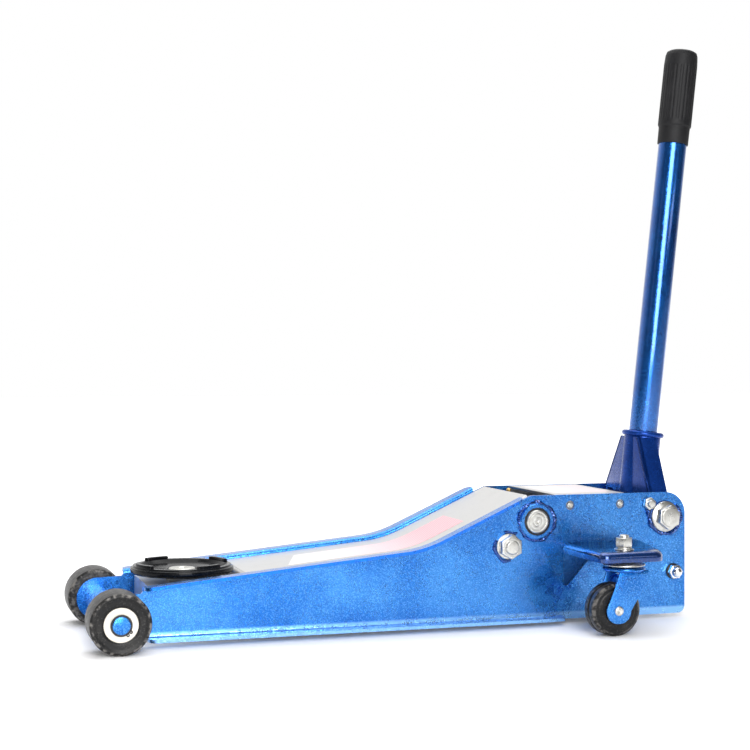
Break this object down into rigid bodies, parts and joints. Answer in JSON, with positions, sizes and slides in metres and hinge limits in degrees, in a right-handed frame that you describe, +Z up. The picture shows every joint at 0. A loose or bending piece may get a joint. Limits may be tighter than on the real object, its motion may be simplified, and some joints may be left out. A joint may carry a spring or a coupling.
{
  "type": "hydraulic floor jack",
  "caption": "Low long-chassis hydraulic floor jack with a turning saddle, flanged side plates, rear casters and an upright pump handle.",
  "frame": {"origin": "middle of the footprint, on the floor", "axes": "+X from the front wheels to the handle, +Y to the right-hand side plate, +Z up"},
  "size_m": [0.8356, 0.393, 0.7566],
  "materials": {
    "blue_paint": "bright metallic blue paint",
    "navy_paint": "dark metallic blue paint",
    "grey_paint": "satin light grey paint",
    "black_paint": "semi-gloss black paint",
    "zinc_steel": "bright zinc-plated steel",
    "cream_washer": "off-white plated washer",
    "brass": "bright brass",
    "wheel_black": "black composite wheel",
    "grip_rubber": "matt black fluted rubber",
    "cast_iron": "dark painted casting"
  },
  "bodies": {
    "frame": {"side_plate_left": "blue_paint", "side_plate_right": "blue_paint", "front_axle": "blue_paint", "front_axle_tube": "blue_paint", "axle_washer_left": "cream_washer", "axle_washer_right": "cream_washer", "arm_pivot_shaft": "zinc_steel", "rod_anchor_stud_left": "zinc_steel", "rod_anchor_stud_right": "zinc_steel", "rod_anchor_nut_left": "zinc_steel", "rod_anchor_nut_right": "zinc_steel", "handle_pivot_bolt_left": "zinc_steel", "handle_pivot_bolt_right": "zinc_steel", "upper_tie_bolt": "zinc_steel", "lower_tie_rod": "zinc_steel", "tie_cap_nut_left": "zinc_steel", "tie_cap_nut_right": "zinc_steel", "rear_cover": "grey_paint", "cover_screw_1_left": "zinc_steel", "cover_screw_1_right": "zinc_steel", "cover_screw_2_left": "zinc_steel", "cover_screw_2_right": "zinc_steel", "power_unit": "cast_iron", "return_spring_left": "zinc_steel", "return_spring_right": "zinc_steel", "plunger_spring": "zinc_steel", "caster_bracket_left": "blue_paint", "caster_bracket_right": "blue_paint", "swivel_bolt_left": "zinc_steel", "swivel_bolt_right": "zinc_steel", "swivel_nut_left": "zinc_steel", "swivel_nut_right": "zinc_steel", "swivel_race_left": "zinc_steel", "swivel_race_right": "zinc_steel"},
    "arm": {"lift_arm": "grey_paint", "crank_pin": "zinc_steel", "seat_pin": "zinc_steel", "grease_nipple": "brass"},
    "seat": {"saddle_seat": "grey_paint", "rod_tip_pin": "zinc_steel", "saddle_screw": "zinc_steel"},
    "saddle_plate": {"saddle": "black_paint"},
    "rods": {"radius_rod_left": "black_paint", "radius_rod_right": "black_paint"},
    "ram_body": {"ram": "zinc_steel"},
    "yoke": {"handle_yoke": "navy_paint"},
    "handle": {"handle_tube": "blue_paint", "handle_grip": "grip_rubber"},
    "roller": {"pump_roller": "zinc_steel"},
    "plunger": {"pump_plunger": "zinc_steel"},
    "valve_spindle": {"release_spindle": "zinc_steel"},
    "wheel_left": {"front_wheel_left": "wheel_black"},
    "caster_left": {"caster_fork_left": "blue_paint", "caster_axle_left": "zinc_steel"},
    "roll_left": {"caster_wheel_left": "wheel_black"},
    "wheel_right": {"front_wheel_right": "wheel_black"},
    "caster_right": {"caster_fork_right": "blue_paint", "caster_axle_right": "zinc_steel"},
    "roll_right": {"caster_wheel_right": "wheel_black"}
  },
  "joints": [
    {"name": "lift_arm", "type": "hinge", "parent": "frame", "child": "arm", "pos_m": [0.14616, 0, 0.132], "axis": [0, 1, 0], "range_deg": [0, 58]},
    {"name": "saddle_level", "type": "hinge", "parent": "arm", "child": "seat", "pos_m": [-0.25984, 0, 0.052], "axis": [0, 1, 0], "range_deg": [-58.2, 0]},
    {"name": "saddle_swivel", "type": "hinge", "parent": "seat", "child": "saddle_plate", "pos_m": [-0.28924, 0, 0.075], "axis": [0, 0, 1], "continuous": true},
    {"name": "radius_rods", "type": "hinge", "parent": "frame", "child": "rods", "pos_m": [0.10866, 0, 0.1017], "axis": [0, 1, 0], "range_deg": [0, 58.2]},
    {"name": "ram_slide", "type": "slide", "parent": "frame", "child": "ram_body", "axis": [-1, 0, 0], "range_m": [0, 0.0506], "deforming": ["return_spring_left", "return_spring_right"]},
    {"name": "handle_pump", "type": "hinge", "parent": "frame", "child": "yoke", "pos_m": [0.32616, 0, 0.133], "axis": [0, 1, 0], "range_deg": [0, 70]},
    {"name": "handle_twist", "type": "hinge", "parent": "yoke", "child": "handle", "pos_m": [0.32616, 0, 0.133], "axis": [0.1123, 0, 0.9937], "range_deg": [0, 90]},
    {"name": "roller_spin", "type": "hinge", "parent": "yoke", "child": "roller", "pos_m": [0.33877, 0.024, 0.11498], "axis": [0, 1, 0], "continuous": true},
    {"name": "plunger_slide", "type": "slide", "parent": "frame", "child": "plunger", "axis": [-1, 0, 0], "range_m": [0, 0.0254], "deforming": ["plunger_spring"]},
    {"name": "valve_turn", "type": "hinge", "parent": "frame", "child": "valve_spindle", "pos_m": [0.32616, 0, 0.133], "axis": [0.7071, 0, 0.7071], "range_deg": [0, 90]},
    {"name": "front_roll_left", "type": "hinge", "parent": "frame", "child": "wheel_left", "pos_m": [-0.38234, -0.11, 0.0355], "axis": [0, 1, 0], "continuous": true},
    {"name": "caster_swivel_left", "type": "hinge", "parent": "frame", "child": "caster_left", "pos_m": [0.22466, -0.1705, 0.082], "axis": [0, 0, 1], "continuous": true},
    {"name": "caster_roll_left", "type": "hinge", "parent": "caster_left", "child": "roll_left", "pos_m": [0.20866, -0.1705, 0.032], "axis": [0, 1, 0], "continuous": true},
    {"name": "front_roll_right", "type": "hinge", "parent": "frame", "child": "wheel_right", "pos_m": [-0.38234, 0.11, 0.0355], "axis": [0, 1, 0], "continuous": true},
    {"name": "caster_swivel_right", "type": "hinge", "parent": "frame", "child": "caster_right", "pos_m": [0.22466, 0.1705, 0.082], "axis": [0, 0, 1], "continuous": true},
    {"name": "caster_roll_right", "type": "hinge", "parent": "caster_right", "child": "roll_right", "pos_m": [0.20866, 0.1705, 0.032], "axis": [0, 1, 0], "continuous": true}
  ],
  "couplings": [
    {"joint": "saddle_level", "follows": "lift_arm", "ratio": -1},
    {"joint": "radius_rods", "follows": "lift_arm", "ratio": 1},
    {"joint": "ram_slide", "follows": "lift_arm", "m_per_rad": 0.049808},
    {"joint": "plunger_slide", "follows": "handle_pump", "m_per_rad": 0.020659},
    {"joint": "valve_turn", "follows": "handle_twist", "ratio": 1}
  ]
}
